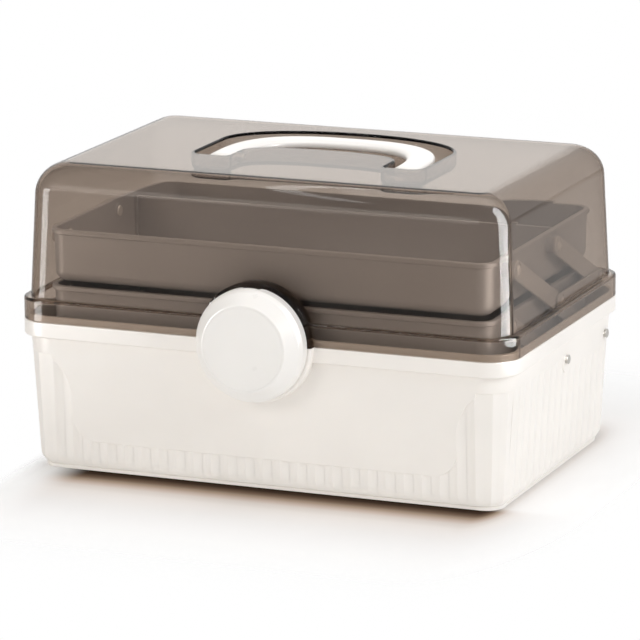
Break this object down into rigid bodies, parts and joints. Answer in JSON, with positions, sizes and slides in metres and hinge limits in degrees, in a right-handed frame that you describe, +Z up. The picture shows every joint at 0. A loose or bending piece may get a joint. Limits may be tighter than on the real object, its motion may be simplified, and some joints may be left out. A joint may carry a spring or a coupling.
{
  "type": "medicine box",
  "caption": "Medicine box with a hinged see-through lid, cantilever trays that lift out and back, a round swing latch and a fold-down carrying handle.",
  "frame": {"origin": "middle of the base's underside, on the surface that the box stands on", "axes": "+X along the width, +Y from the latch towards the hinges, +Z up"},
  "size_m": [0.33, 0.2483, 0.1944],
  "materials": {
    "cream_plastic": "satin",
    "smoky_plastic": "polished, see-through",
    "white_plastic": "gloss",
    "tray_plastic": "satin",
    "arm_plastic": "satin",
    "pin_steel": "polished"
  },
  "bodies": {
    "base": {"base_shell": "cream_plastic", "base_pins": "pin_steel", "hinge_pin_left": "pin_steel", "hinge_pin_right": "pin_steel"},
    "lid": {"lid_cover": "smoky_plastic", "handle_pin_left": "pin_steel", "handle_pin_right": "pin_steel"},
    "latch": {"latch_button": "white_plastic", "latch_face": "white_plastic", "latch_pin": "pin_steel"},
    "handle": {"handle_grip": "white_plastic"},
    "lower_front_arms": {"lower_front_arm_left": "arm_plastic", "lower_front_arm_right": "arm_plastic"},
    "lower_rear_arms": {"lower_rear_arm_left": "arm_plastic", "lower_rear_arm_right": "arm_plastic"},
    "middle_tray": {"middle_tray": "tray_plastic", "middle_divider": "tray_plastic", "tie_bar_left": "arm_plastic", "tie_bar_right": "arm_plastic", "middle_front_pins": "pin_steel", "middle_centre_pins": "pin_steel", "middle_rear_pins": "pin_steel", "pivot_washers": "pin_steel"},
    "upper_front_arms": {"upper_front_arm_left": "arm_plastic", "upper_front_arm_right": "arm_plastic"},
    "upper_rear_arms": {"upper_rear_arm_left": "arm_plastic", "upper_rear_arm_right": "arm_plastic"},
    "upper_tray": {"upper_tray": "tray_plastic", "upper_divider": "tray_plastic", "upper_tray_pins": "pin_steel"}
  },
  "joints": [
    {"name": "lid_hinge", "type": "hinge", "parent": "base", "child": "lid", "pos_m": [0, 0.1135, 0.0958], "axis": [-1, 0, 0], "range_deg": [0, 170]},
    {"name": "latch_swing", "type": "hinge", "parent": "lid", "child": "latch", "pos_m": [0, -0.116, 0.1293], "axis": [-1, 0, 0], "range_deg": [0, 40]},
    {"name": "handle_swing", "type": "hinge", "parent": "lid", "child": "handle", "pos_m": [0, -0.014, 0.1893], "axis": [1, 0, 0], "range_deg": [0, 90]},
    {"name": "lower_front_arms_swing", "type": "hinge", "parent": "base", "child": "lower_front_arms", "pos_m": [0, 0.007, 0.073], "axis": [-1, 0, 0], "range_deg": [0, 72]},
    {"name": "lower_rear_arms_swing", "type": "hinge", "parent": "base", "child": "lower_rear_arms", "pos_m": [0, 0.082, 0.073], "axis": [-1, 0, 0], "range_deg": [0, 72]},
    {"name": "middle_tray_level", "type": "hinge", "parent": "lower_front_arms", "child": "middle_tray", "pos_m": [0, -0.068, 0.109], "axis": [-1, 0, 0], "range_deg": [-72, 0]},
    {"name": "upper_front_arms_swing", "type": "hinge", "parent": "middle_tray", "child": "upper_front_arms", "pos_m": [0, 0.007, 0.109], "axis": [-1, 0, 0], "range_deg": [0, 72]},
    {"name": "upper_rear_arms_swing", "type": "hinge", "parent": "middle_tray", "child": "upper_rear_arms", "pos_m": [0, 0.082, 0.109], "axis": [-1, 0, 0], "range_deg": [0, 72]},
    {"name": "upper_tray_level", "type": "hinge", "parent": "upper_front_arms", "child": "upper_tray", "pos_m": [0, -0.068, 0.145], "axis": [-1, 0, 0], "range_deg": [-72, 0]}
  ],
  "couplings": [
    {"joint": "lower_front_arms_swing", "follows": "lid_hinge", "ratio": 0.42},
    {"joint": "lower_rear_arms_swing", "follows": "lid_hinge", "ratio": 0.42},
    {"joint": "middle_tray_level", "follows": "lid_hinge", "ratio": -0.42},
    {"joint": "upper_front_arms_swing", "follows": "lid_hinge", "ratio": 0.42},
    {"joint": "upper_rear_arms_swing", "follows": "lid_hinge", "ratio": 0.42},
    {"joint": "upper_tray_level", "follows": "lid_hinge", "ratio": -0.42}
  ]
}
